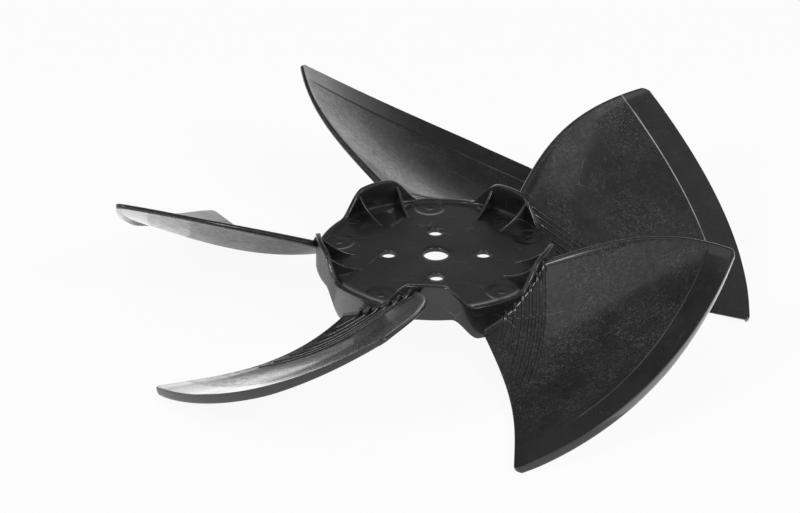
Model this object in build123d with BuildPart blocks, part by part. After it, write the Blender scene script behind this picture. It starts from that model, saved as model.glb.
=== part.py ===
import os
from math import atan2, cos, degrees, hypot, radians, sin, sqrt, tan

from build123d import *

# Axial fan impeller, moulded in one piece. The axis is Z and air leaves towards +Z.
# The origin is the middle of the bore, on the upper face of the hub web. Lengths are in mm.

# Overall
blade_count = 5
tip_radius = 150
blade_pitch = 360 / blade_count

# Hub web with its motor holes
web_thickness = 2.2
bore_diameter = 12
bolt_circle = 45
bolt_hole_diameter = 7
bolt_count = 4
hole_chamfer = 0.4

# Wavy wall round the web, straight outside, with a skirt that thins downwards inside
wall_radius = 57
wall_thickness = 2.4
skirt_draft = 0.5

# Cove between web and wall, drawn as two cones that meet in a bend
cove_height = 3.4
cove_reach = 6.1
cove_toe_depth = 0.3
cove_bend_inset = 0.5
cove_bend_height = 0.75

# Humps on the upper edge of the wall, one behind each leading edge
hump_height = 13.5
hump_angle = -23.4
hump_flank = 14
hump_crown = 0.5
valley_half_width = 12.4
valley_lip = 0.8

# Lower edge of the wall: a high arch, then a tongue down to the trailing edge
arch_drop = 4.4
arch_angle = -19
arch_half_width = 7.3
tongue_drop = 15.8
steep_flank = 13.1
slow_flank = 33

# Two gussets stiffen each hump
gusset_thickness = 1.4
gusset_height = 11
gusset_foot_radius = 38.3
gusset_spread = 11.2
gusset_hollow = 1.6

# Shallow round recesses in the web
recess_diameter = 14
recess_depth = 0.5
recess_radius = 47.8
recess_angle = -51

# Blade sections at four stations, evenly spaced from the first one to the tip
first_station_radius = 54.3
leading_angles = (-28.2, -21.8, -23.15, -27.2)
trailing_angles = (-68.4, -69.6, -73.6, -77.7)
leading_heights = (9.6, 23.8, 34.0, 38.9)
trailing_heights = (-11.5, -22.2, -26.3, -27.4)
camber_sags = (1.5, 5.7, 7.6, 7.4)
blade_thickness = 2.0
stacking_angle = -50
tip_corner_round = 3.2

# Bead that forms the leading edge, its round section drawn with flats
bead_root_radius = 1.9
bead_tip_radius = 1.4
bead_sides = 8

# Lip under the tip, and the thin pad that ends in a crease on the upper side
lip_width = 2.4
lip_depth = 4.8
lip_full_until = 0.75
pad_inner_radius = 136
pad_height = 0.3
pad_start = 0.24

# Low ribs that fan out from the wall over the root of the blade
rib_count = 6
rib_width = 2.4
rib_height = 0.8
rib_first_angle = -56
rib_last_angle = -30.2
rib_first_end = 68
rib_last_end = 105
rib_edge_gap = 4.5
rib_bow = 4.2

# How finely the blade surface is sampled, and how far cutters run past what they cut
section_count = 8
points_across = 7
edge_points = 6
slope_step = 0.5
crossing_rounds = 12
overcut = 3
prism_reach = 70

root_radius = wall_radius - wall_thickness / 2
wall_inner = wall_radius - wall_thickness


def polar(radius, angle):
    return (radius * cos(radians(angle)), radius * sin(radians(angle)))


def through_stations(values, fraction):
    # Smooth curve through values that stand evenly from 0 to 1
    place = fraction * (len(values) - 1)
    total = 0
    for here, value in enumerate(values):
        weight = 1
        for other in range(len(values)):
            if other != here:
                weight *= (place - other) / (here - other)
        total += value * weight
    return total


def span_fraction(radius):
    # 0 at the first station, in the wall, and 1 at the tip
    return (radius - first_station_radius) / (tip_radius - first_station_radius)


def leading_angle(radius):
    return through_stations(leading_angles, span_fraction(radius))


def trailing_angle(radius):
    return through_stations(trailing_angles, span_fraction(radius))


def chord_fraction(radius, angle):
    # 0 on the trailing edge and 1 on the leading edge
    start = trailing_angle(radius)
    return (angle - start) / (leading_angle(radius) - start)


def camber_height(radius, angle):
    # Height of the blade's upper face
    span = span_fraction(radius)
    chord = chord_fraction(radius, angle)
    low = through_stations(trailing_heights, span)
    high = through_stations(leading_heights, span)
    sag = 4 * through_stations(camber_sags, span) * chord * (1 - chord)
    return low + (high - low) * chord - sag


def upright(radius, angle):
    # Vertical length that gives one unit square to the sloping surface
    step = slope_step
    across = camber_height(radius, angle + step) - camber_height(radius, angle - step)
    along = camber_height(radius + step, angle) - camber_height(radius - step, angle)
    slope_across = across / (2 * radius * radians(step))
    slope_along = along / (2 * step)
    return sqrt(1 + slope_across ** 2 + slope_along ** 2)


def past_trailing(radius):
    # Just outside the trailing edge, for what is trimmed there later
    return trailing_angle(radius) - degrees(overcut / 2 / radius)


def past_leading(radius):
    return leading_angle(radius) + degrees(overcut / 2 / radius)


def bead_radius(radius):
    fraction = span_fraction(radius)
    return bead_root_radius + (bead_tip_radius - bead_root_radius) * fraction


def bead_angle(radius):
    # The bead's axis lies one bead radius inside the leading edge
    return leading_angle(radius) - degrees(bead_radius(radius) / radius)


def edge_offset(distance, edge_angle):
    # Where an edge crosses the section plane at this distance from the axis
    offset = 0
    for _ in range(crossing_rounds):
        angle = edge_angle(hypot(distance, offset)) - stacking_angle
        offset = distance * tan(radians(angle))
    return offset


def section_points(distance, lift):
    # Points of a lifted camber line in one section plane
    start = edge_offset(distance, trailing_angle) - overcut
    end = edge_offset(distance, leading_angle) + overcut
    points = []
    for step in range(points_across):
        across = start + (end - start) * step / (points_across - 1)
        radius = hypot(distance, across)
        angle = stacking_angle + degrees(atan2(across, distance))
        height = camber_height(radius, angle) + lift(radius, angle) * upright(radius, angle)
        points.append((across, height))
    return points


def section_curve(distance, lift):
    # All section curves share one set of parameters, so that they loft to a light surface
    points = [Vector(*point) for point in section_points(distance, lift)]
    parameters = [step / (points_across - 1) for step in range(points_across)]
    return Edge.make_spline(points, parameters=parameters)


def blade_layer(upper, lower):
    # Solid between two lifted copies of the camber surface, lofted along the blade
    root_half_angle = max(
        leading_angle(root_radius) - stacking_angle,
        stacking_angle - trailing_angle(root_radius),
    )
    first = root_radius * cos(radians(root_half_angle)) - overcut
    spacing = (tip_radius + overcut - first) / (section_count - 1)
    radial = Vector(*polar(1, stacking_angle))
    with BuildPart() as layer:
        for station in range(section_count):
            distance = first + spacing * station
            section_plane = Plane(
                origin=radial * distance,
                x_dir=(-radial.Y, radial.X, 0),
                z_dir=radial,
            )
            with BuildSketch(section_plane):
                with BuildLine():
                    top = section_curve(distance, upper)
                    bottom = section_curve(distance, lower)
                    add([top, bottom])
                    Line(top @ 0, bottom @ 0)
                    Line(top @ 1, bottom @ 1)
                make_face()
        loft()
    return layer.part


def edge_curve(edge_angle, first_radius, last_radius):
    points = []
    for step in range(edge_points):
        radius = first_radius + (last_radius - first_radius) * step / (edge_points - 1)
        points.append(polar(radius, edge_angle(radius)))
    return points


def planform(inner_radius, outer_radius, start_angle, end_angle, corner_round=0):
    # Tall prism over the part of the blade between two radii and two edge curves
    with BuildPart() as prism:
        with BuildSketch(Plane.XY.offset(-prism_reach)):
            with BuildLine():
                start = Spline(*edge_curve(start_angle, inner_radius, outer_radius))
                end = Spline(*edge_curve(end_angle, inner_radius, outer_radius))
                for radius, left, right in (
                    (inner_radius, start @ 0, end @ 0),
                    (outer_radius, start @ 1, end @ 1),
                ):
                    middle = (start_angle(radius) + end_angle(radius)) / 2
                    ThreePointArc(left, polar(radius, middle), right)
            outline = make_face()
            if corner_round:
                corners = outline.vertices().sort_by(Axis((0, 0, 0), polar(1, stacking_angle) + (0,)))
                fillet(corners[-2:], radius=corner_round)
        extrude(amount=2 * prism_reach)
    return prism.part


def leading_bead():
    # Tapering bar along the leading edge, centred in the blade's thickness
    first = root_radius - overcut
    spacing = (tip_radius + overcut - first) / (edge_points - 1)
    points = []
    for step in range(edge_points):
        radius = first + spacing * step
        angle = bead_angle(radius)
        height = camber_height(radius, angle) - blade_thickness / 2 * upright(radius, angle)
        points.append(polar(radius, angle) + (height,))
    with BuildPart() as bead:
        with BuildLine() as axis_line:
            Spline(*points)
        path = axis_line.line
        for place, size in ((0, bead_root_radius), (1, bead_tip_radius)):
            with BuildSketch(Plane(origin=path @ place, x_dir=(0, 0, 1), z_dir=path % place)):
                RegularPolygon(size, side_count=bead_sides, major_radius=False)
        sweep(path=path, multisection=True)
    return bead.part


def root_ribs():
    # Each rib starts at the wall, bends outwards and stops short of the trailing edge
    with BuildPart() as ribs:
        with BuildSketch(Plane.XY.offset(-prism_reach)):
            for index in range(rib_count):
                fraction = index / (rib_count - 1)
                start_angle = rib_first_angle + (rib_last_angle - rib_first_angle) * fraction
                end_radius = rib_first_end + (rib_last_end - rib_first_end) * fraction
                end_angle = trailing_angle(end_radius) + degrees(rib_edge_gap / end_radius)
                start = Vector(*polar(root_radius - overcut / 2, start_angle))
                end = Vector(*polar(end_radius, end_angle))
                outwards = (end - start).normalized().rotate(Axis.Z, 90)
                middle = (start + end) / 2 + outwards * rib_bow * fraction
                side = outwards * rib_width / 2
                left_side = [point + side for point in (start, middle, end)]
                right_side = [point - side for point in (end, middle, start)]
                with BuildLine():
                    Polyline(*left_side, *right_side, close=True)
                make_face()
        extrude(amount=2 * prism_reach)
        add(
            blade_layer(lambda r, a: rib_height, lambda r, a: -blade_thickness / 2),
            mode=Mode.INTERSECT,
        )
    return ribs.part


def tip_lip():
    # Stiffening lip under the tip, fading out towards the leading edge
    def depth(radius, angle):
        past = max(0, chord_fraction(radius, angle) - lip_full_until) / (1 - lip_full_until)
        return -lip_depth + (lip_depth - blade_thickness / 2) * min(1, past)

    with BuildPart() as lip:
        add(planform(tip_radius - lip_width, tip_radius + overcut, past_trailing, bead_angle))
        add(
            blade_layer(lambda r, a: -blade_thickness / 4, depth),
            mode=Mode.INTERSECT,
        )
    return lip.part


def tip_pad():
    # Thin raised pad over the outer end of the blade
    def pad_edge(radius):
        start = trailing_angle(radius)
        return start + (leading_angle(radius) - start) * pad_start

    def pad_end(radius):
        # Inside the bead, where the bead still stands higher than the pad
        return bead_angle(radius) - degrees(blade_thickness / 2 / radius)

    with BuildPart() as pad:
        add(planform(pad_inner_radius, tip_radius + overcut, pad_edge, pad_end))
        add(
            blade_layer(lambda r, a: pad_height, lambda r, a: -blade_thickness / 2),
            mode=Mode.INTERSECT,
        )
    return pad.part


def make_blade():
    with BuildPart() as blade:
        add(planform(root_radius - overcut / 2, tip_radius + overcut, past_trailing, bead_angle))
        add(
            blade_layer(lambda r, a: 0, lambda r, a: -blade_thickness),
            mode=Mode.INTERSECT,
        )
        add(leading_bead())
        add(tip_lip())
        add(tip_pad())
        for rib in root_ribs().solids():
            add(rib)
        add(
            planform(root_radius, tip_radius, trailing_angle, past_leading, tip_corner_round),
            mode=Mode.INTERSECT,
        )
    return blade.part


def side_plane(angle):
    # Plane on the axis whose X runs round the hub and whose normal points outwards
    across, along = polar(1, angle)
    return Plane(origin=(0, 0, 0), x_dir=(-along, across, 0), z_dir=(across, along, 0))


def wall_blank():
    # Full-height wall with its inner cove, which ends in a shelf inside the web
    shelf = -web_thickness / 2
    cove_toe = wall_inner - cove_reach
    skirt_inner = wall_inner + (tongue_drop + shelf) * tan(radians(skirt_draft))
    with BuildPart() as blank:
        with BuildSketch(Plane.XZ):
            with BuildLine():
                Polyline(
                    (cove_toe, shelf),
                    (cove_toe, -cove_toe_depth),
                    (wall_inner - cove_bend_inset, cove_bend_height),
                    (wall_inner, cove_height),
                    (wall_inner, hump_height),
                    (wall_radius, hump_height),
                    (wall_radius, -tongue_drop),
                    (skirt_inner, -tongue_drop),
                    (wall_inner, shelf),
                    close=True,
                )
            make_face()
        revolve(axis=Axis.Z)
    return blank.part


def rim_valley():
    # Cutter for one dip of the upper edge, from the top of a hump to the top of the next
    reach = (wall_radius + overcut) * sin(radians(blade_pitch / 2))
    shoulder = valley_half_width + hump_flank
    with BuildPart() as cutter:
        with BuildSketch(side_plane(hump_angle + blade_pitch / 2)):
            with BuildLine():
                Line((-valley_half_width, valley_lip), (valley_half_width, valley_lip))
                for side in (-1, 1):
                    foot = (side * valley_half_width, valley_lip)
                    crest = (side * shoulder, hump_height - hump_crown)
                    peak = (side * reach, hump_height)
                    Spline(foot, crest, peak, tangents=[(side, 0), (side, 0)])
                    Line(peak, (side * reach, hump_height + overcut))
                Line((-reach, hump_height + overcut), (reach, hump_height + overcut))
            make_face()
        extrude(amount=wall_radius + 2 * overcut)
    return cutter.part


def skirt_arch():
    # Cutter for the arch between two tongues of the lower edge
    left = -arch_half_width - slow_flank
    right = arch_half_width + steep_flank
    below = -tongue_drop - overcut
    with BuildPart() as cutter:
        with BuildSketch(side_plane(arch_angle)):
            with BuildLine():
                Line((-arch_half_width, -arch_drop), (arch_half_width, -arch_drop))
                for foot, toe in ((-arch_half_width, left), (arch_half_width, right)):
                    side = 1 if toe > foot else -1
                    Spline((foot, -arch_drop), (toe, -tongue_drop), tangents=[(side, 0), (side, 0)])
                    Line((toe, -tongue_drop), (toe, below))
                Line((left, below), (right, below))
            make_face()
        extrude(amount=wall_radius + 2 * overcut)
    return cutter.part


def make_gusset(angle):
    # Thin web in a plane through the axis, its upper edge bent inwards at the middle
    across, along = polar(1, angle)
    foot = Vector(gusset_foot_radius, 0)
    head = Vector(root_radius, gusset_height)
    inwards = Vector(gusset_height, gusset_foot_radius - root_radius).normalized()
    embed = -web_thickness / 2
    with BuildPart() as gusset:
        with BuildSketch(Plane(origin=(0, 0, 0), x_dir=(across, along, 0), z_dir=(along, -across, 0))):
            with BuildLine():
                Polyline(
                    foot,
                    (foot + head) / 2 + inwards * gusset_hollow,
                    head,
                    (root_radius, embed),
                    (gusset_foot_radius, embed),
                    close=True,
                )
            make_face()
        extrude(amount=gusset_thickness / 2, both=True)
    return gusset.part


def round_recesses():
    # Cutter for shallow round recesses, one per blade, that stop at the foot of the wall
    with BuildPart() as cutter:
        with BuildSketch(Plane.XY.offset(cove_height)):
            with PolarLocations(recess_radius, blade_count, start_angle=recess_angle):
                Circle(recess_diameter / 2)
            Circle(wall_inner, mode=Mode.INTERSECT)
        extrude(amount=-cove_height - recess_depth)
    return cutter.part


def make_hub():
    with BuildPart() as hub:
        add(wall_blank())
        for cutter in (rim_valley(), skirt_arch()):
            with PolarLocations(0, blade_count):
                add(cutter, mode=Mode.SUBTRACT)
        with BuildSketch():
            Circle(root_radius)
        extrude(amount=-web_thickness)
        add(round_recesses(), mode=Mode.SUBTRACT)
        for side in (-1, 1):
            gusset = make_gusset(hump_angle + side * gusset_spread)
            with PolarLocations(0, blade_count):
                add(gusset)
        with BuildSketch():
            Circle(bore_diameter / 2)
            with PolarLocations(bolt_circle / 2, bolt_count):
                Circle(bolt_hole_diameter / 2)
        extrude(amount=-web_thickness, mode=Mode.SUBTRACT)
        rims = hub.edges(Select.LAST).filter_by(GeomType.CIRCLE).group_by(Axis.Z)[-1]
        chamfer(rims, length=hole_chamfer)
    return hub.part


with BuildPart() as impeller:
    add(make_hub())
    blade = make_blade()
    with PolarLocations(0, blade_count):
        add(blade)

impeller.part.label = "impeller"
os.makedirs("parts", exist_ok=True)
export_step(impeller.part, "parts/impeller.step")
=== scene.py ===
from math import asin, atan2, cos, degrees, hypot, pi, radians, sin, sqrt, tan

import bmesh
import bpy
from mathutils import Matrix, Vector
from mathutils.kdtree import KDTree


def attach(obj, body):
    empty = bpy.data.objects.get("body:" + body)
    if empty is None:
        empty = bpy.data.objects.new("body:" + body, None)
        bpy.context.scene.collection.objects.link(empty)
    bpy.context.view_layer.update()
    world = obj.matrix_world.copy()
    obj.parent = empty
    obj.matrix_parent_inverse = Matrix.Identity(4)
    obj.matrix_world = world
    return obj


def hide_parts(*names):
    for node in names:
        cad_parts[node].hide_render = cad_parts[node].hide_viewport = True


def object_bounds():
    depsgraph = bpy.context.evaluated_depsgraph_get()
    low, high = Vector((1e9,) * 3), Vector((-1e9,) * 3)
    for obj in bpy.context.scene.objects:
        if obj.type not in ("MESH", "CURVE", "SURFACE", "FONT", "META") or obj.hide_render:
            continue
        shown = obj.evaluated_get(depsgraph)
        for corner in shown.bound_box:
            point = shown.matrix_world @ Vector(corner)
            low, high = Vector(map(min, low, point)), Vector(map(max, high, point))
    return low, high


# Axial fan impeller: one dark plastic moulding on a pale studio floor.
# The moulding's own values are in millimetres and degrees, the studio's and the camera's in metres.
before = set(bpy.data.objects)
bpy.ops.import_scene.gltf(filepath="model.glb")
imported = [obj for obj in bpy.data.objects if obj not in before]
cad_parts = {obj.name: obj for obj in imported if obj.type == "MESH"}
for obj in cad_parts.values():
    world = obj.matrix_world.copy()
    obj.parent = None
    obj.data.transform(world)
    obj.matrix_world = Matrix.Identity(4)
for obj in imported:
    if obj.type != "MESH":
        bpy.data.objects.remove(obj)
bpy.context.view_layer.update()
mm = 0.001
print("frame loaded")


# camera
view = {
    "distance": 1.3425,
    "elevation": 28.261,
    "lens": 127.2,
    "sideways": 0.01707,  # how far the hub stands right of the middle of the picture
    "upwards": 0.00132,
    "nearest": 0.05,
    "farthest": 30,
}


def placeCamera():
    tilt = radians(view["elevation"])
    back = Vector((0, -cos(tilt), sin(tilt)))
    up = Vector((0, sin(tilt), cos(tilt)))
    aside = Vector((view["sideways"], 0, 0))
    camera = bpy.data.objects.new("studioCamera", bpy.data.cameras.new("studioCamera"))
    camera.location = back * view["distance"] - aside - up * view["upwards"]
    camera.rotation_euler = (radians(90) - tilt, 0, 0)
    camera.data.lens = view["lens"]
    camera.data.clip_start = view["nearest"]
    camera.data.clip_end = view["farthest"]
    bpy.context.scene.collection.objects.link(camera)
    bpy.context.scene.camera = camera


placeCamera()
print("camera placed")


# blades
blade = {
    "count": 5,
    "firstStation": 54.3,
    "tipRadius": 150.0,
    "leadingAngles": (-28.2, -22.1, -23.15, -27.2),  # at four even stations, wall to tip
    "trailingAngles": (-68.4, -69.6, -73.6, -77.7),
    "leadingHeights": (9.6, 24.2, 34.1, 38.9),
    "trailingHeights": (-11.5, -22.2, -26.3, -27.4),
    "camberSags": (1.5, 5.7, 7.6, 7.4),
    "slopeStep": 0.4,  # over which slopes of the camber are measured
    "thickness": 2.0,
    "thinEdge": 1.3,  # thickness at the trailing edge, and the distance over which it grows
    "thinFrom": 10.0,
    "cornerRound": 3.2,
    "rootFillet": 1.3,
    "beadAtWall": 1.9,  # radius of the rounded bead along the leading edge
    "beadAtTip": 1.12,
    "beadLeast": 1.02,  # times half the thickness
    "beadFadesAt": 120.0,
    "beadFoot": 1.3,  # length of the hollow behind the bead, which a slimmer bead loses
    "footFrom": 1.1,
    "footOver": 0.5,
    "noseGap": 0.3,  # radians that the nose stops short of the faces
    "lipWidth": 2.4,  # lip that hangs under the tip and fades along the chord
    "lipDrop": 2.3,
    "lipFullUntil": 0.58,
    "lipGoneAt": 1.0,
    "lipAhead": 0.3,
    "lipStep": 0.5,
    "padRadius": 136.0,  # raised band at the tip, from one share of the chord to another
    "padHeight": 0.22,
    "padStep": 0.7,
    "padStart": 0.24,
    "padStartOver": 0.06,
    "padEnd": 0.97,
    "padEndOver": 0.02,
}

bladeGrid = {
    "faceColumns": 44,
    "noseColumns": 9,
    "tailColumns": 5,
    "faceSpacing": 1.35,  # above 1, columns are closer at the trailing edge
    "rootRows": (56.7, 57.0, 57.25, 57.5, 57.8, 58.2, 58.7, 59.3),
    "spanFrom": 60.5,
    "spanUntil": 134.5,
    "spanStep": 2.5,
    "padRows": (135.3, 135.65, 136.0, 136.35, 136.8, 138.5, 141.0, 143.4, 145.0),
    "lipRows": (146.2, 147.1, 147.35, 147.6, 147.8, 148.3, 148.8, 149.2, 149.5, 149.7),
    "tipRows": ((149.88, 0.86), (149.97, 0.62), (150.0, 0.3), (150.0, 0.0)),  # radius, fullness
}

wall = {
    "outer": 57.0,
    "middle": 55.8,
    "inner": 54.6,
    "skirtDraft": 0.5,  # on the inner side below the web
}


def smooth(value):
    value = min(1.0, max(0.0, value))
    return value * value * (3 - 2 * value)


def throughStations(values, fraction):
    # cubic through four values that stand evenly from 0 to 1
    total = 0
    for here, value in enumerate(values):
        weight = 1
        for other in range(4):
            if other != here:
                weight *= (fraction * 3 - other) / (here - other)
        total += value * weight
    return total


def alongSpan(name, radius):
    fraction = (radius - blade["firstStation"]) / (blade["tipRadius"] - blade["firstStation"])
    return throughStations(blade[name], fraction)


def cornerPull(radius):
    # how far the rounded tip corners draw the edges in
    start = blade["tipRadius"] - blade["cornerRound"]
    past = min(blade["cornerRound"], max(0.0, radius - start))
    return blade["cornerRound"] - sqrt(blade["cornerRound"] ** 2 - past ** 2)


def camberHeight(radius, angle):
    trail = alongSpan("trailingAngles", radius)
    chord = (angle - trail) / (alongSpan("leadingAngles", radius) - trail)
    low = alongSpan("trailingHeights", radius)
    high = alongSpan("leadingHeights", radius)
    return low + (high - low) * chord - 4 * alongSpan("camberSags", radius) * chord * (1 - chord)


def camberSlopes(radius, angle):
    # how steeply the camber climbs towards the leading edge and towards the tip
    step = blade["slopeStep"]
    across = camberHeight(radius, angle + step) - camberHeight(radius, angle - step)
    along = camberHeight(radius + step, angle) - camberHeight(radius - step, angle)
    return across / (2 * radius * radians(step)), along / (2 * step)


def surfaceNormal(radius, angle):
    # upward normal of the blade's upper side
    across, along = camberSlopes(radius, angle)
    turn = radians(angle)
    outwards = Vector((cos(turn), sin(turn), 0))
    onwards = Vector((-sin(turn), cos(turn), 0))
    return (Vector((0, 0, 1)) - outwards * along - onwards * across).normalized()


def beadRadius(radius):
    share = (radius - blade["firstStation"]) / (blade["beadFadesAt"] - blade["firstStation"])
    return blade["beadAtWall"] + (blade["beadAtTip"] - blade["beadAtWall"]) * min(1.0, share)


def sectionPoint(radius, column):
    # a column's angle, its height over the section's middle, its side and its share of the chord;
    # the side is 1 above, -1 below and 0 round the two edges
    tail, face, nose = bladeGrid["tailColumns"], bladeGrid["faceColumns"], bladeGrid["noseColumns"]
    pull = degrees(cornerPull(radius) / radius)
    lead = alongSpan("leadingAngles", radius) - pull
    trail = alongSpan("trailingAngles", radius) + pull
    chord = radius * radians(lead - trail)
    rise = (camberHeight(radius, lead) - camberHeight(radius, trail)) / chord
    length = chord * sqrt(1 + rise * rise)
    half = blade["thickness"] / 2
    thin = blade["thinEdge"] / 2
    bead = max(beadRadius(radius), half * blade["beadLeast"])
    reach = pi - asin(half / bead)
    hollow = blade["beadFoot"] * smooth((bead - blade["footFrom"]) / blade["footOver"])
    side = 0
    if column < tail:
        turn = radians(-90 + 180 * column / (tail - 1))
        distance = thin - thin * cos(turn)
        offset = thin * sin(turn)
    elif tail + face <= column < tail + face + nose:
        last = reach - blade["noseGap"]
        turn = last - 2 * last * (column - tail - face) / (nose - 1)
        distance = length - bead + bead * cos(turn)
        offset = bead * sin(turn)
    else:
        side = 1 if column < tail + face else -1
        step = column - tail + 1 if side > 0 else tail + 2 * face + nose - column
        foot = bead - bead * cos(reach) + hollow
        distance = thin + (length - foot - thin) * (step / face) ** bladeGrid["faceSpacing"]
        offset = side * (thin + (half - thin) * smooth(distance / blade["thinFrom"]))
    return trail + (lead - trail) * distance / length, offset, side, distance / length


def lipDrop(radius, chord):
    inside = blade["tipRadius"] - blade["lipWidth"]
    fade = min(1.0, (blade["lipGoneAt"] - chord) / (blade["lipGoneAt"] - blade["lipFullUntil"]))
    step = smooth((radius - inside + blade["lipAhead"]) / blade["lipStep"])
    return blade["lipDrop"] * max(0.0, fade) * step


def padLift(radius, chord):
    start = smooth((chord - blade["padStart"]) / blade["padStartOver"])
    end = smooth((blade["padEnd"] - chord) / blade["padEndOver"])
    step = smooth((radius - blade["padRadius"] + blade["padStep"] / 2) / blade["padStep"])
    return blade["padHeight"] * start * end * step


def rootFillet(radius):
    # how far the faces swell where they meet the wall
    size = blade["rootFillet"]
    near = max(0.0, size - max(0.0, radius - wall["outer"]))
    return size - sqrt(max(0.0, size ** 2 - near ** 2))


def bladePoint(row, column):
    radius, fullness = row
    angle, offset, side, chord = sectionPoint(radius, column)
    across, along = camberSlopes(radius, angle)
    steep = sqrt(1 + across * across)
    square = sqrt(1 + across * across + along * along) / steep
    half = blade["thickness"] / 2
    drop = lipDrop(radius, chord)
    if side > 0:
        offset += padLift(radius, chord) + rootFillet(radius)
    elif side < 0:
        offset -= rootFillet(radius) + drop
    elif offset < 0:
        offset -= drop * (-offset / half)
    centre = -drop / 2
    offset = centre + (offset - centre) * fullness
    out = (offset - half) * square
    turned = (radius * radians(angle) - across / steep * out) / radius
    height = camberHeight(radius, angle) + out / steep
    return Vector((radius * cos(turned), radius * sin(turned), height)) * mm


def wrappedSheet(columns, rows, pointAt):
    # a grid whose columns run once round a section while its rows run along the piece
    bm = bmesh.new()
    bmesh.ops.create_grid(bm, x_segments=columns, y_segments=len(rows) - 1, size=0.5)
    for vert in bm.verts:
        column = round((vert.co.x + 0.5) * columns) % columns
        row = rows[round((vert.co.y + 0.5) * (len(rows) - 1))]
        vert.co = pointAt(row, column)
    bmesh.ops.remove_doubles(bm, verts=bm.verts, dist=0.000002)
    bmesh.ops.recalc_face_normals(bm, faces=bm.faces)
    return bm


def makeBlade():
    # wrapped from the trailing edge over the top to the bead and back below
    columns = bladeGrid["tailColumns"] + 2 * bladeGrid["faceColumns"] + bladeGrid["noseColumns"]
    radii = list(bladeGrid["rootRows"])
    radius = bladeGrid["spanFrom"]
    while radius < bladeGrid["spanUntil"]:
        radii.append(radius)
        radius += bladeGrid["spanStep"]
    radii += bladeGrid["padRows"] + bladeGrid["lipRows"]
    rows = [(wall["middle"], 0.0), (wall["middle"], 1.0)]
    rows += [(radius, 1.0) for radius in radii]
    rows += bladeGrid["tipRows"]
    return wrappedSheet(columns, rows, bladePoint)


bladeMesh = makeBlade()
print("blade made:", len(bladeMesh.faces), "faces")


# hub
hub = {
    "steps": 420,
    "webThickness": 2.2,
    "boreRadius": 6.0,
    "boltCircle": 22.5,
    "boltRadius": 3.5,
    "boltCount": 4,
    "boltSteps": 48,
    "cutterReach": 2.0,
    "rimRound": 0.45,
    "lowerRimRound": 0.3,
    "coveToe": 49.9,
    "coveHeight": 0.95,
    "humpHeight": 13.5,
    "humpAngle": -23.4,
    "humpFlank": 14.0,
    "humpCrown": 0.5,
    "shoulderSlope": 0.22,  # of the flank where it meets the crown
    "valleyHalf": 12.4,
    "valleyLip": 0.8,
    "archDrop": 4.4,
    "archAngle": -19.0,
    "archHalf": 7.3,
    "tongueDrop": 15.8,
    "steepFlank": 13.1,
    "slowFlank": 33.0,
    "edgeRound": 0.6,
    "lowEdgeRound": 0.45,  # of the wall's height, where the wall is too low for edgeRound
    "skirtFillet": 1.0,
    "webRows": (9, 13, 17, 21, 25, 29, 33, 36.5, 38.5),
    "fineFrom": 39.5,  # closer rows for the recesses, up to the cove
    "fineStep": 0.75,
    "fineGap": 0.2,
    "underRows": (50, 44, 36, 28, 20, 12, 8),
    "reliefFrom": 30.0,  # the recesses lie beyond this radius, from just under the web's face
    "reliefLow": -0.1,
    "reliefHigh": 1.2,  # height on the cove where they have faded out
}

recess = {
    "radius": 47.8,
    "angle": -51.0,
    "half": 7.0,
    "depth": 0.32,
    "edge": 0.5,
    "dimple": 0.45,
    "dimpleHalf": 1.6,
}

pocketMark = {
    "radius": 48.0,
    "angle": -24.0,
    "half": 3.0,
    "depth": 0.25,
    "edge": 0.35,
    "dimple": 0.0,
    "dimpleHalf": 1.0,
}

gusset = {
    "thickness": 1.4,
    "height": 11.0,
    "footRadius": 38.3,
    "footBack": 0.6,
    "sunk": 1.0,
    "spread": 11.2,
    "hollow": 1.6,
    "round": 0.45,
    "steps": 14,
}

pitch = 360 / blade["count"]


def fromCentre(angle, centre):
    # angle measured from the nearest of five evenly spaced centres
    return (angle - centre + pitch / 2) % pitch - pitch / 2


def wallTop(angle):
    across = abs(wall["outer"] * sin(radians(fromCentre(angle, hub["humpAngle"] + pitch / 2))))
    shoulder = hub["valleyHalf"] + hub["humpFlank"]
    crest = hub["humpHeight"] - hub["humpCrown"]
    slope = hub["shoulderSlope"]
    if across <= hub["valleyHalf"]:
        return hub["valleyLip"]
    if across <= shoulder:
        t = (across - hub["valleyHalf"]) / hub["humpFlank"]
        rise = (3 - slope) * t * t + (slope - 2) * t ** 3
        return hub["valleyLip"] + (crest - hub["valleyLip"]) * rise
    t = min(1.0, (across - shoulder) / (wall["outer"] * sin(radians(pitch / 2)) - shoulder))
    return crest + hub["humpCrown"] * (2 * t - t * t)


def wallBottom(angle):
    across = wall["outer"] * sin(radians(fromCentre(angle, hub["archAngle"])))
    flank = hub["steepFlank"] if across > 0 else hub["slowFlank"]
    deeper = hub["tongueDrop"] - hub["archDrop"]
    return -hub["archDrop"] - deeper * smooth((abs(across) - hub["archHalf"]) / flank)


def coveRadius(height):
    # the wide low cove between the web and the wall, then the wall's straight inner side
    left = max(0.0, 1 - height / hub["coveHeight"])
    return hub["coveToe"] + (wall["inner"] - hub["coveToe"]) * sqrt(1 - left * left)


def skirtInner(height):
    return wall["inner"] + (-hub["webThickness"] - height) * tan(radians(wall["skirtDraft"]))


def arc(radius, height, size, start, end, steps, skipped=0):
    # points round part of a circle, whose angles go from outwards to upwards
    turns = [radians(start + (end - start) * step / steps) for step in range(skipped, steps + 1)]
    return [(radius + size * cos(turn), height + size * sin(turn)) for turn in turns]


def levels(first, last, steps):
    return [first + (last - first) * step / steps for step in range(1, steps + 1)]


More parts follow.
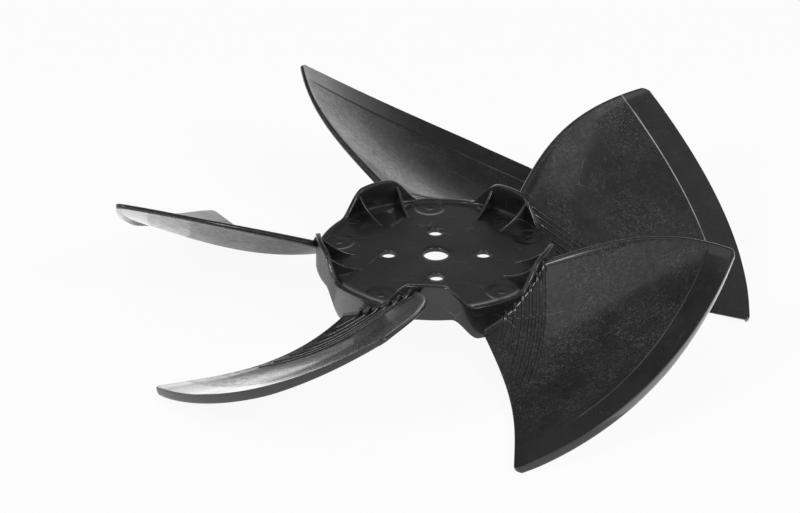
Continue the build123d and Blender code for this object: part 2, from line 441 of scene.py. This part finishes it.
def hubProfile(top, bottom):
    # closed outline of the hub's half section, from the bore over the web and the wall and back
    under = -hub["webThickness"]
    bore, rim, lowerRim = hub["boreRadius"], hub["rimRound"], hub["lowerRimRound"]
    outer, fillet = wall["outer"], hub["skirtFillet"]
    edge = hub["edgeRound"]
    topEdge = min(edge, hub["lowEdgeRound"] * top)
    shoulder = top - topEdge
    heel = bottom + edge
    points = arc(bore + rim, -rim, rim, 180, 90, 4)
    points += [(radius, 0.0) for radius in hub["webRows"]]
    radius = hub["fineFrom"]
    while radius < hub["coveToe"] - hub["fineGap"]:
        points.append((radius, 0.0))
        radius += hub["fineStep"]
    cove = min(hub["coveHeight"], shoulder)
    heights = [cove * (step / 7) ** 2 for step in range(8)] + levels(cove, shoulder, 5)
    points += [(coveRadius(height), height) for height in heights]
    points += arc(coveRadius(shoulder) + topEdge, shoulder, topEdge, 180, 90, 3, 1)
    points += arc(outer - topEdge, shoulder, topEdge, 90, 0, 3)
    points += [(outer, height) for height in levels(shoulder, heel, 8)]
    points += arc(outer - edge, heel, edge, 0, -90, 3, 1)
    points += arc(skirtInner(heel) + edge, heel, edge, -90, -180, 3)
    points += [(skirtInner(height), height) for height in levels(heel, under - fillet, 5)]
    points += arc(wall["inner"] - fillet, under - fillet, fillet, 0, 90, 4, 1)
    points += [(radius, under) for radius in hub["underRows"]]
    points += arc(bore + lowerRim, under + lowerRim, lowerRim, -90, -180, 3)
    return points


def webRelief(radius, angle):
    # shallow round recesses and marks in the web's upper face
    relief = 0.0
    for mark in (recess, pocketMark):
        turn = radians(fromCentre(angle, mark["angle"]))
        away = hypot(radius * cos(turn) - mark["radius"], radius * sin(turn))
        relief -= mark["depth"] * smooth((mark["half"] + mark["edge"] - away) / (2 * mark["edge"]))
        relief -= mark["dimple"] * smooth(1 - away / mark["dimpleHalf"])
    return relief


def drawOutline(bm, points, closed):
    # vertices joined in a row, in a plane through the axis
    chain = [bm.verts.new((radius, 0, height)) for radius, height in points]
    nextOnes = chain[1:] + chain[:1] if closed else chain[1:]
    for first, second in zip(chain, nextOnes):
        bm.edges.new((first, second))


def spinRound(bm, steps):
    bmesh.ops.spin(
        bm,
        geom=bm.verts[:] + bm.edges[:],
        cent=(0, 0, 0),
        axis=(0, 0, 1),
        angle=2 * pi,
        steps=steps,
        use_merge=True,
    )


def makeHub():
    # the tallest section is spun, then each of its turns takes the heights of its own angle
    template = hubProfile(hub["humpHeight"], -hub["tongueDrop"])
    places = KDTree(len(template))
    for index, (radius, height) in enumerate(template):
        places.insert((radius, 0, height), index)
    places.balance()
    bm = bmesh.new()
    drawOutline(bm, template, closed=True)
    spinRound(bm, hub["steps"])
    profiles = {}
    for vert in bm.verts:
        angle = degrees(atan2(vert.co.y, vert.co.x))
        key = round(angle * hub["steps"] / 360)
        if key not in profiles:
            profiles[key] = hubProfile(wallTop(angle), wallBottom(angle))
        index = places.find((hypot(vert.co.x, vert.co.y), 0, vert.co.z))[1]
        radius, height = profiles[key][index]
        if height > hub["reliefLow"] and radius > hub["reliefFrom"]:
            fade = smooth((hub["reliefHigh"] - height) / hub["reliefHigh"])
            height += webRelief(radius, angle) * fade
        turn = radians(angle)
        vert.co = Vector((radius * cos(turn), radius * sin(turn), height)) * mm
    bmesh.ops.recalc_face_normals(bm, faces=bm.faces)
    return bm


def makeGusset():
    # a thin web that stiffens a hump, drawn flat, thickened and rounded along its hollow edge
    bm = bmesh.new()
    foot = Vector((gusset["footRadius"], 0, 0))
    head = Vector((wall["middle"], 0, gusset["height"]))
    inwards = Vector((head.z, 0, foot.x - head.x)).normalized()
    outline = []
    for step in range(gusset["steps"] + 1):
        t = step / gusset["steps"]
        outline.append(foot.lerp(head, t) + inwards * gusset["hollow"] * 4 * t * (1 - t))
    outline.append(Vector((wall["middle"], 0, -gusset["sunk"])))
    outline.append(Vector((gusset["footRadius"] - gusset["footBack"], 0, -gusset["sunk"])))
    for point in outline:
        point.y -= gusset["thickness"] / 2
    face = bm.faces.new([bm.verts.new(point * mm) for point in outline])
    pulled = bmesh.ops.extrude_face_region(bm, geom=[face])
    moved = [item for item in pulled["geom"] if isinstance(item, bmesh.types.BMVert)]
    bmesh.ops.translate(bm, verts=moved, vec=(0, gusset["thickness"] * mm, 0))
    bmesh.ops.recalc_face_normals(bm, faces=bm.faces)
    low = -gusset["sunk"] / 2 * mm
    rims = []
    for edge in bm.edges:
        first, second = edge.verts
        sameSide = abs(first.co.y - second.co.y) < 0.1 * mm
        if sameSide and first.co.z > low and second.co.z > low:
            rims.append(edge)
    bmesh.ops.bevel(
        bm,
        geom=rims,
        offset=gusset["round"] * mm,
        affect="EDGES",
        segments=3,
        profile=0.5,
        material=-1,
    )
    return bm


def boltCutter():
    # plug with a flared upper end, which leaves a rounded rim on each hole
    rim, radius = hub["rimRound"], hub["boltRadius"]
    high, low = hub["cutterReach"], -hub["webThickness"] - hub["cutterReach"]
    points = [(0, high), (radius + rim, high)]
    points += arc(radius + rim, -rim, rim, 90, 180, 4)
    points += [(radius, -hub["webThickness"]), (radius, low), (0, low)]
    bm = bmesh.new()
    drawOutline(bm, [(across * mm, height * mm) for across, height in points], closed=False)
    spinRound(bm, hub["boltSteps"])
    bmesh.ops.remove_doubles(bm, verts=bm.verts, dist=0.000001)
    bmesh.ops.recalc_face_normals(bm, faces=bm.faces)
    return bm


def asObject(bm, name):
    mesh = bpy.data.meshes.new(name)
    bm.to_mesh(mesh)
    piece = bpy.data.objects.new(name, mesh)
    bpy.context.scene.collection.objects.link(piece)
    return piece


def pourInto(target, bm):
    # moves a mesh into a larger one
    mesh = bpy.data.meshes.new("part")
    bm.to_mesh(mesh)
    bm.free()
    target.from_mesh(mesh)
    bpy.data.meshes.remove(mesh)


def repeated(bm, angles, offset=(0, 0, 0)):
    # copies of a mesh turned about the axis
    mesh = bpy.data.meshes.new("repeated")
    bm.to_mesh(mesh)
    bm.free()
    result = bmesh.new()
    for angle in angles:
        before = set(result.verts)
        result.from_mesh(mesh)
        fresh = [vert for vert in result.verts if vert not in before]
        turn = Matrix.Rotation(radians(angle), 4, "Z") @ Matrix.Translation(offset)
        bmesh.ops.transform(result, matrix=turn, verts=fresh)
    bpy.data.meshes.remove(mesh)
    return result


def drilledHub():
    blank = asObject(makeHub(), "hubBlank")
    angles = [360 / hub["boltCount"] * index for index in range(hub["boltCount"])]
    plugs = repeated(boltCutter(), angles, (hub["boltCircle"] * mm, 0, 0))
    cutters = asObject(plugs, "boltCutters")
    cut = blank.modifiers.new("boltHoles", "BOOLEAN")
    cut.operation = "DIFFERENCE"
    cut.solver = "EXACT"
    cut.object = cutters
    bpy.context.view_layer.update()
    finished = blank.evaluated_get(bpy.context.evaluated_depsgraph_get())
    mesh = bpy.data.meshes.new_from_object(finished)
    for leftover in (blank, cutters):
        bpy.data.objects.remove(leftover)
    return mesh


# ribs, which stand on the blades and climb the hub wall
ribs = {
    "count": 6,
    "halfWidth": 0.95,
    "height": 0.62,
    "firstAngle": -56.0,
    "lastAngle": -30.2,
    "firstEnd": 68.0,
    "lastEnd": 105.0,
    "edgeGap": 4.5,
    "bow": 4.2,
    "offWall": 0.1,
    "climb": 2.7,  # how far a rib runs up the hub wall, and over what length it turns up
    "turnLength": 3.2,
    "belowRim": 0.9,
    "pieces": 34,
    "spacing": 1.8,  # above 1, pieces are shorter at the wall
    "around": 12,
    "wallEnd": ((0.0, 0.5), (0.55, 0.35), (0.86, 0.15)),  # fullness and reach of the blunt end
    "taperPieces": 5,
    "taperLeast": 0.25,
}


def polar(radius, angle):
    return Vector((radius * cos(radians(angle)), radius * sin(radians(angle))))


def ribLine(index):
    # places and normals along one rib: down the wall like a finger, then over the blade in a bow
    share = index / (ribs["count"] - 1)
    startAngle = ribs["firstAngle"] + (ribs["lastAngle"] - ribs["firstAngle"]) * share
    endRadius = ribs["firstEnd"] + (ribs["lastEnd"] - ribs["firstEnd"]) * share
    endAngle = alongSpan("trailingAngles", endRadius) + degrees(ribs["edgeGap"] / endRadius)
    start = polar(wall["outer"] + ribs["offWall"], startAngle)
    along = polar(endRadius, endAngle) - start
    outwards = Vector((-along.y, along.x)).normalized()
    line = []
    for step in range(ribs["pieces"] + 1):
        t = (step / ribs["pieces"]) ** ribs["spacing"]
        point = start + along * t + outwards * ribs["bow"] * share * 4 * t * (1 - t)
        radius = point.length
        angle = degrees(atan2(point.y, point.x))
        height = camberHeight(radius, angle)
        turned = max(0.0, 1 - (radius - wall["outer"]) / ribs["turnLength"])
        climb = min(ribs["climb"], wallTop(angle) - ribs["belowRim"] - height)
        normal = surfaceNormal(radius, angle)
        normal = normal.lerp(Vector((point.x, point.y, 0)).normalized(), turned ** 2).normalized()
        line.append((Vector((point.x, point.y, height + max(0.0, climb) * turned ** 3)), normal))
    return line


def ribPoint(line, row, column):
    place, fullness, ahead = row
    point, normal = line[place]
    before, after = line[max(0, place - 1)][0], line[min(len(line) - 1, place + 1)][0]
    forward = (after - before).normalized()
    side = forward.cross(normal).normalized()
    turn = 2 * pi * column / ribs["around"]
    out = side * ribs["halfWidth"] * cos(turn) + normal * ribs["height"] * sin(turn)
    return (point + out * fullness - forward * ahead) * mm


def makeRibs():
    # half-sunk round bars that taper out near the trailing edge
    result = bmesh.new()
    for index in range(ribs["count"]):
        line = ribLine(index)
        last = len(line) - 1
        rows = [(0, fullness, ahead) for fullness, ahead in ribs["wallEnd"]]
        for place in range(last + 1):
            taper = (last - place) / ribs["taperPieces"] + ribs["taperLeast"]
            rows.append((place, min(1.0, taper), 0.0))
        rows.append((last, 0.0, 0.0))
        bar = wrappedSheet(ribs["around"], rows, lambda row, column: ribPoint(line, row, column))
        pourInto(result, bar)
    return result


hubMesh = drilledHub()
print("hub drilled:", len(hubMesh.polygons), "faces")

bladeAngles = [pitch * index for index in range(blade["count"])]
gussetAngles = []
for bladeAngle in bladeAngles:
    for side in (-1, 1):
        gussetAngles.append(hub["humpAngle"] + side * gusset["spread"] + bladeAngle)
impeller = bmesh.new()
impeller.from_mesh(hubMesh)
bpy.data.meshes.remove(hubMesh)
pourInto(impeller, repeated(bladeMesh, bladeAngles))
pourInto(impeller, repeated(makeRibs(), bladeAngles))
pourInto(impeller, repeated(makeGusset(), gussetAngles))
impellerPiece = asObject(impeller, "impellerMoulding")
for polygon in impellerPiece.data.polygons:
    polygon.use_smooth = True
impellerPiece.data.set_sharp_from_angle(angle=radians(50))
triangles = sum(len(polygon.vertices) - 2 for polygon in impellerPiece.data.polygons)
print("impeller joined:", triangles, "triangles")


# plastic
plastic = {
    "dark": (0.006, 0.006, 0.0064, 1),
    "pale": (0.013, 0.013, 0.0134, 1),
    "dust": (0.13, 0.13, 0.13, 1),
    # pale grey painted along the tip-band crease as its highlight
    "paintedHighlight": (0.42, 0.42, 0.42, 1),
    "toneNoise": (30, 0.35, 0.7),  # noise scale, and the values between which it goes from 0 to 1
    "dustInTone": 0.7,
    "scratchInTone": 0.8,
    "roughLow": 0.26,
    "roughHigh": 0.42,
    "roughNoise": (60, 0.3, 0.7),
    "dustInRough": 0.15,
    "specular": 0.22,  # of the plastic under the coat
    "coat": 0.95,
    "coatLeast": 0.15,
    "coatRoughness": 0.12,
    "rubbed": 0.45,  # how much of the coat is rubbed off in fine mottles on the blades
    "rubbedNoise": (420, 0.34, 0.62),
    "dustInCoat": 0.6,
    "dustOffBlades": 0.2,  # share of the dust that the hub and the tip bands keep
    "tipScratches": 0.6,  # share of the scratches that the tip bands lose
    "grainScale": 900,
    "scratchDepth": 2.0,
    "bumpStrength": 0.25,
    "bumpDistance": 0.00012,
}

wearAndHighlight = {
    "fineSpecks": (1300, 0.48, 0.72),
    "coarseSpecks": (620, 0.50, 0.75),
    "coarseShare": 0.8,
    "speckPatches": (38, 0.38, 0.66),
    "patchLeast": 0.15,
    "scratchSets": ((26, 0.006, 0.4), (41, 0.008, 1.3), (17, 0.004, 2.3)),  # scale, width, turn
    "scratchTilt": (0.3, 0.2, 1.0),
    "scratchStretch": (1, 2.6, 1),
    "scratchBreakScale": 2.2,
    "scratchBreaks": (0.55, 0.68),
    "tipBand": (0.1353, 0.1363),  # metres from the axis, from none to full
    "bladeFrom": (0.056, 0.074),
    # painted highlight along the crease at the inner edge of the tip band, kept beside the real specks
    # and scratches
    "creaseRadius": 0.13595,
    "creaseHalf": (0.00008, 0.00034),
    "creaseTowards": (0.73, 0.68, 0),  # where the painted highlight on the crease is strongest
    "creaseSide": (0.1, 0.137),
    "creaseLeast": 0.03,
    "creaseBreaks": (90, 0.3, 0.6),
    "creaseBreakLeast": 0.45,
}


def newNode(tree, kind, **values):
    node = tree.nodes.new(kind)
    for name, value in values.items():
        setattr(node, name, value)
    return node


def mathNode(tree, operation, first, second=None, third=None):
    node = newNode(tree, "ShaderNodeMath", operation=operation)
    for index, value in enumerate((first, second, third)):
        if value is None:
            continue
        if isinstance(value, (int, float)):
            node.inputs[index].default_value = value
        else:
            tree.links.new(value, node.inputs[index])
    return node.outputs[0]


def vectorNode(tree, operation, first, second=None):
    # vector maths on a socket and, where the operation needs one, a fixed vector
    node = newNode(tree, "ShaderNodeVectorMath", operation=operation)
    tree.links.new(first, node.inputs[0])
    if second is not None:
        node.inputs[1].default_value = second
    return node


def rangeNode(tree, value, low, high, outLow=0.0, outHigh=1.0):
    node = newNode(tree, "ShaderNodeMapRange", interpolation_type="SMOOTHSTEP")
    node.inputs["From Min"].default_value = low
    node.inputs["From Max"].default_value = high
    node.inputs["To Min"].default_value = outLow
    node.inputs["To Max"].default_value = outHigh
    tree.links.new(value, node.inputs["Value"])
    return node.outputs["Result"]


def noiseNode(tree, vector, scale, detail, roughness=0.6):
    node = newNode(tree, "ShaderNodeTexNoise")
    node.inputs["Scale"].default_value = scale
    node.inputs["Detail"].default_value = detail
    node.inputs["Roughness"].default_value = roughness
    tree.links.new(vector, node.inputs["Vector"])
    return node.outputs["Fac"]


def noiseMask(tree, vector, recipe, detail, roughness=0.6, outLow=0.0, outHigh=1.0):
    # noise pulled apart between two of its values
    scale, low, high = recipe
    noise = noiseNode(tree, vector, scale, detail, roughness)
    return rangeNode(tree, noise, low, high, outLow, outHigh)


def mixNode(tree, factor, first, second):
    # from a colour or a colour socket to a fixed colour
    node = newNode(tree, "ShaderNodeMix", data_type="RGBA")
    tree.links.new(factor, node.inputs["Factor"])
    if isinstance(first, tuple):
        node.inputs["A"].default_value = first
    else:
        tree.links.new(first, node.inputs["A"])
    node.inputs["B"].default_value = second
    return node.outputs["Result"]


def newGroup(name, *masks):
    # node group that turns a place into one or more masks
    group = bpy.data.node_groups.new(name, "ShaderNodeTree")
    group.interface.new_socket(name="Vector", in_out="INPUT", socket_type="NodeSocketVector")
    for label in masks:
        group.interface.new_socket(name=label, in_out="OUTPUT", socket_type="NodeSocketFloat")
    vector = group.nodes.new("NodeGroupInput").outputs["Vector"]
    return group, vector, group.nodes.new("NodeGroupOutput")


def placeGroup(tree, group, vector):
    node = newNode(tree, "ShaderNodeGroup", node_tree=group)
    tree.links.new(vector, node.inputs["Vector"])
    return node.outputs


def axisDistance(tree, vector):
    flat = vectorNode(tree, "MULTIPLY", vector, (1, 1, 0)).outputs["Vector"]
    return vectorNode(tree, "LENGTH", flat).outputs["Value"]


def speckleGroup():
    # fine dusty mottle that comes and goes in patches
    group, vector, result = newGroup("dustSpeckle", "Mask")
    fine = noiseMask(group, vector, wearAndHighlight["fineSpecks"], 3)
    coarse = noiseMask(group, vector, wearAndHighlight["coarseSpecks"], 3)
    patches = noiseMask(group, vector, wearAndHighlight["speckPatches"], 5, outLow=wearAndHighlight["patchLeast"])
    both = mathNode(group, "MAXIMUM", fine, mathNode(group, "MULTIPLY", coarse, wearAndHighlight["coarseShare"]))
    group.links.new(mathNode(group, "MULTIPLY", both, patches), result.inputs["Mask"])
    return group


def scratchGroup():
    # hairline scratches: thin cell borders, broken up by a coarse noise
    group, vector, result = newGroup("hairScratches", "Mask")
    total = None
    for scale, width, turn in wearAndHighlight["scratchSets"]:
        mapping = newNode(group, "ShaderNodeMapping")
        mapping.inputs["Rotation"].default_value = [turn * tilt for tilt in wearAndHighlight["scratchTilt"]]
        mapping.inputs["Scale"].default_value = wearAndHighlight["scratchStretch"]
        group.links.new(vector, mapping.inputs["Vector"])
        turned = mapping.outputs["Vector"]
        cells = newNode(group, "ShaderNodeTexVoronoi", feature="DISTANCE_TO_EDGE")
        cells.inputs["Scale"].default_value = scale
        group.links.new(turned, cells.inputs["Vector"])
        line = rangeNode(group, cells.outputs["Distance"], 0.0, width, 1.0, 0.0)
        breaks = (scale * wearAndHighlight["scratchBreakScale"], *wearAndHighlight["scratchBreaks"])
        hair = mathNode(group, "MULTIPLY", line, noiseMask(group, turned, breaks, 2, 0.55))
        total = hair if total is None else mathNode(group, "MAXIMUM", total, hair)
    group.links.new(total, result.inputs["Mask"])
    return group


def zoneGroup():
    # how far out a point lies: 1 on the inboard part of the blades, less at the hub and the tip band
    group, vector, result = newGroup("bladeZone", "Blade", "Tip")
    radius = axisDistance(group, vector)
    outer = rangeNode(group, radius, *wearAndHighlight["tipBand"])
    inner = rangeNode(group, radius, *wearAndHighlight["bladeFrom"])
    group.links.new(mathNode(group, "SUBTRACT", inner, outer), result.inputs["Blade"])
    group.links.new(outer, result.inputs["Tip"])
    return group


def creaseHighlightGroup():
    # painted highlight: a pale line along the inner edge of the tip band, strongest on the blade at
    # the back right, where the light catches the crease
    group, vector, result = newGroup("creaseHighlight", "Mask")
    off = mathNode(group, "SUBTRACT", axisDistance(group, vector), wearAndHighlight["creaseRadius"])
    line = rangeNode(group, mathNode(group, "ABSOLUTE", off), *wearAndHighlight["creaseHalf"], 1.0, 0.0)
    side = vectorNode(group, "DOT_PRODUCT", vector, wearAndHighlight["creaseTowards"]).outputs["Value"]
    most = rangeNode(group, side, *wearAndHighlight["creaseSide"], wearAndHighlight["creaseLeast"])
    broken = noiseMask(
        group, vector, wearAndHighlight["creaseBreaks"], 3, 0.55, outLow=wearAndHighlight["creaseBreakLeast"]
    )
    paintedHighlight = mathNode(group, "MULTIPLY", mathNode(group, "MULTIPLY", line, most), broken)
    group.links.new(paintedHighlight, result.inputs["Mask"])
    return group


def plasticCoat(tree, place, dust, onBlade):
    # the gloss is rubbed off in mottles and lies dull under dust
    rubbed = noiseMask(tree, place, plastic["rubbedNoise"], 5, 0.7)
    lost = mathNode(tree, "MULTIPLY", mathNode(tree, "MULTIPLY", rubbed, onBlade), plastic["rubbed"])
    lost = mathNode(tree, "ADD", lost, mathNode(tree, "MULTIPLY", dust, plastic["dustInCoat"]))
    left = mathNode(tree, "SUBTRACT", plastic["coat"], lost)
    return mathNode(tree, "MAXIMUM", left, plastic["coatLeast"])


def plasticTone(tree, place, dust, scratches):
    tone = mixNode(
        tree, noiseMask(tree, place, plastic["toneNoise"], 5), plastic["dark"], plastic["pale"]
    )
    dusty = mathNode(tree, "MULTIPLY", dust, plastic["dustInTone"])
    scratched = mathNode(tree, "MULTIPLY", scratches, plastic["scratchInTone"])
    tone = mixNode(tree, mathNode(tree, "MAXIMUM", dusty, scratched), tone, plastic["dust"])
    # painted highlight along the crease of the tip band, mixed into the colour
    creaseHighlightMask = placeGroup(tree, creaseHighlightGroup(), place)["Mask"]
    return mixNode(tree, creaseHighlightMask, tone, plastic["paintedHighlight"])


def plasticRoughness(tree, place, dust):
    rough = noiseMask(
        tree, place, plastic["roughNoise"], 4, outLow=plastic["roughLow"], outHigh=plastic["roughHigh"]
    )
    return mathNode(tree, "ADD", rough, mathNode(tree, "MULTIPLY", dust, plastic["dustInRough"]))


def plasticNormal(tree, place, dust, scratches):
    bump = newNode(tree, "ShaderNodeBump")
    bump.inputs["Strength"].default_value = plastic["bumpStrength"]
    bump.inputs["Distance"].default_value = plastic["bumpDistance"]
    raised = mathNode(tree, "ADD", noiseNode(tree, place, plastic["grainScale"], 3), dust)
    cut = mathNode(tree, "MULTIPLY", scratches, plastic["scratchDepth"])
    tree.links.new(mathNode(tree, "SUBTRACT", raised, cut), bump.inputs["Height"])
    return bump.outputs["Normal"]


def blackPlastic():
    material = bpy.data.materials.new("blackMoulding")
    material.use_nodes = True
    tree = material.node_tree
    shader = tree.nodes["Principled BSDF"]
    shader.inputs["Specular IOR Level"].default_value = plastic["specular"]
    shader.inputs["Coat Roughness"].default_value = plastic["coatRoughness"]
    place = newNode(tree, "ShaderNodeTexCoord").outputs["Object"]
    zone = placeGroup(tree, zoneGroup(), place)
    kept = mathNode(tree, "MULTIPLY_ADD", zone["Tip"], -plastic["tipScratches"], 1.0)
    scratches = placeGroup(tree, scratchGroup(), place)["Mask"]
    scratches = mathNode(tree, "MULTIPLY", scratches, kept)
    dustOff = plastic["dustOffBlades"]
    settled = mathNode(tree, "MULTIPLY_ADD", zone["Blade"], 1 - dustOff, dustOff)
    dust = placeGroup(tree, speckleGroup(), place)["Mask"]
    dust = mathNode(tree, "MULTIPLY", dust, settled)
    for label, socket in (
        ("Coat Weight", plasticCoat(tree, place, dust, zone["Blade"])),
        ("Base Color", plasticTone(tree, place, dust, scratches)),
        ("Roughness", plasticRoughness(tree, place, dust)),
        ("Normal", plasticNormal(tree, place, dust, scratches)),
    ):
        tree.links.new(socket, shader.inputs[label])
    return material


impellerPiece.data.materials.append(blackPlastic())
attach(impellerPiece, "root")
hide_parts("impeller")
print("plastic applied")


# studio
studio = {
    "floorSize": 6.0,
    "floorColour": (0.82, 0.82, 0.82, 1),
    "floorRoughness": 0.9,
    "floorShare": 0.07,  # how much of the lit floor, and so of the shadow, the camera sees
    "shadeMiddle": (-0.03, 0.06),  # shaded part of the floor that reflections find
    "shadeGlow": 0.2,
    "shadeFrom": 0.03,
    "shadeEnd": 0.17,
    "skyStops": (
        # sine of the height above the floor, glow
        (0.0, 1.0),
        (0.14, 1.0),
        (0.30, 0.44),
        (0.45, 0.13),
        (0.65, 0.09),
        (0.85, 0.36),
        (1.0, 0.42),
    ),
    "lamps": (
        # name, place, size, watts
        ("leftSoftbox", (-1.4, 0.15, 1.6), 1.0, 2.2),
        ("rightSoftbox", (1.5, -0.5, 1.5), 1.0, 2.5),
        ("leftKey", (-0.93, -1.1, 1.22), 0.5, 12),
        ("rightKey", (0.93, -1.1, 1.22), 0.5, 12),
    ),
    "floorGlows": (
        # name, middle, width and depth, watts: bright spots of the floor that only reflections find
        ("floorGlowRight", (0.2, -0.08), (0.19, 0.2), 0.16),
        ("floorGlowFront", (-0.09, -0.04), (0.12, 0.05), 0.015),
        ("floorGlowLeft", (-0.18, 0.13), (0.11, 0.26), 0.032),
    ),
    "glowLift": 0.001,
}
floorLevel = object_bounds()[0].z


def seenDirectly(tree, path):
    # 1 for the camera and for rays through clear matter
    camera, clear = path.outputs["Is Camera Ray"], path.outputs["Is Transmission Ray"]
    return mathNode(tree, "MAXIMUM", camera, clear)


def mixShaders(tree, factor, first, second, output):
    mix = newNode(tree, "ShaderNodeMixShader")
    tree.links.new(factor, mix.inputs["Fac"])
    tree.links.new(first.outputs[0], mix.inputs[1])
    tree.links.new(second.outputs[0], mix.inputs[2])
    tree.links.new(mix.outputs[0], tree.nodes[output].inputs["Surface"])


def makeFloor():
    # lit like paper, but white to the camera, and white with a shaded place to reflections
    bm = bmesh.new()
    bmesh.ops.create_grid(bm, x_segments=8, y_segments=8, size=studio["floorSize"] / 2)
    bmesh.ops.translate(bm, verts=bm.verts, vec=(0, 0, floorLevel))
    floor = asObject(bm, "studioFloor")
    material = bpy.data.materials.new("paleFloor")
    material.use_nodes = True
    tree = material.node_tree
    paper = tree.nodes["Principled BSDF"]
    paper.inputs["Base Color"].default_value = studio["floorColour"]
    paper.inputs["Roughness"].default_value = studio["floorRoughness"]
    path = newNode(tree, "ShaderNodeLightPath")
    place = newNode(tree, "ShaderNodeTexCoord").outputs["Object"]
    away = vectorNode(tree, "DISTANCE", place, (*studio["shadeMiddle"], floorLevel)).outputs["Value"]
    glow = rangeNode(tree, away, studio["shadeFrom"], studio["shadeEnd"], studio["shadeGlow"])
    mirrored = mathNode(tree, "MULTIPLY", glow, path.outputs["Is Glossy Ray"])
    seen = mathNode(tree, "MULTIPLY", seenDirectly(tree, path), 1 - studio["floorShare"])
    share = mathNode(tree, "MAXIMUM", seen, mirrored)
    white = newNode(tree, "ShaderNodeEmission")
    mixShaders(tree, share, paper, white, "Material Output")
    floor.data.materials.append(material)


def makeSky():
    # a white cyclorama low down that darkens towards the ceiling; the camera sees plain white
    world = bpy.data.worlds.new("studioWorld")
    bpy.context.scene.world = world
    world.use_nodes = True
    tree = world.node_tree
    sky = tree.nodes["Background"]
    split = newNode(tree, "ShaderNodeSeparateXYZ")
    tree.links.new(newNode(tree, "ShaderNodeTexCoord").outputs["Generated"], split.inputs[0])
    shade = newNode(tree, "ShaderNodeValToRGB")
    ramp = shade.color_ramp
    ramp.interpolation = "EASE"
    for place, glow in studio["skyStops"][1:-1]:
        ramp.elements.new(place)
    for element, (place, glow) in zip(ramp.elements, studio["skyStops"]):
        element.position = place
        element.color = (glow, glow, glow, 1)
    tree.links.new(split.outputs["Z"], shade.inputs["Fac"])
    tree.links.new(shade.outputs["Color"], sky.inputs["Color"])
    white = newNode(tree, "ShaderNodeBackground")
    white.inputs["Color"].default_value = (1, 1, 1, 1)
    seen = seenDirectly(tree, newNode(tree, "ShaderNodeLightPath"))
    mixShaders(tree, seen, sky, white, "World Output")


def newLamp(name, place, watts):
    lamp = bpy.data.objects.new(name, bpy.data.lights.new(name, "AREA"))
    lamp.data.energy = watts
    lamp.location = place
    bpy.context.scene.collection.objects.link(lamp)
    return lamp


def makeLamps():
    for name, place, size, watts in studio["lamps"]:
        lamp = newLamp(name, place, watts)
        lamp.data.size = size
        lamp.rotation_euler = (-Vector(place)).to_track_quat("-Z", "Y").to_euler()
    for name, middle, size, watts in studio["floorGlows"]:
        lamp = newLamp(name, (*middle, floorLevel + studio["glowLift"]), watts)
        lamp.data.shape = "RECTANGLE"
        lamp.data.size, lamp.data.size_y = size
        lamp.rotation_euler = (pi, 0, 0)
        lamp.visible_camera = False
        lamp.visible_diffuse = False


makeFloor()
makeSky()
makeLamps()
bpy.context.scene.view_settings.view_transform = "Standard"
print("studio lit")

print("done")
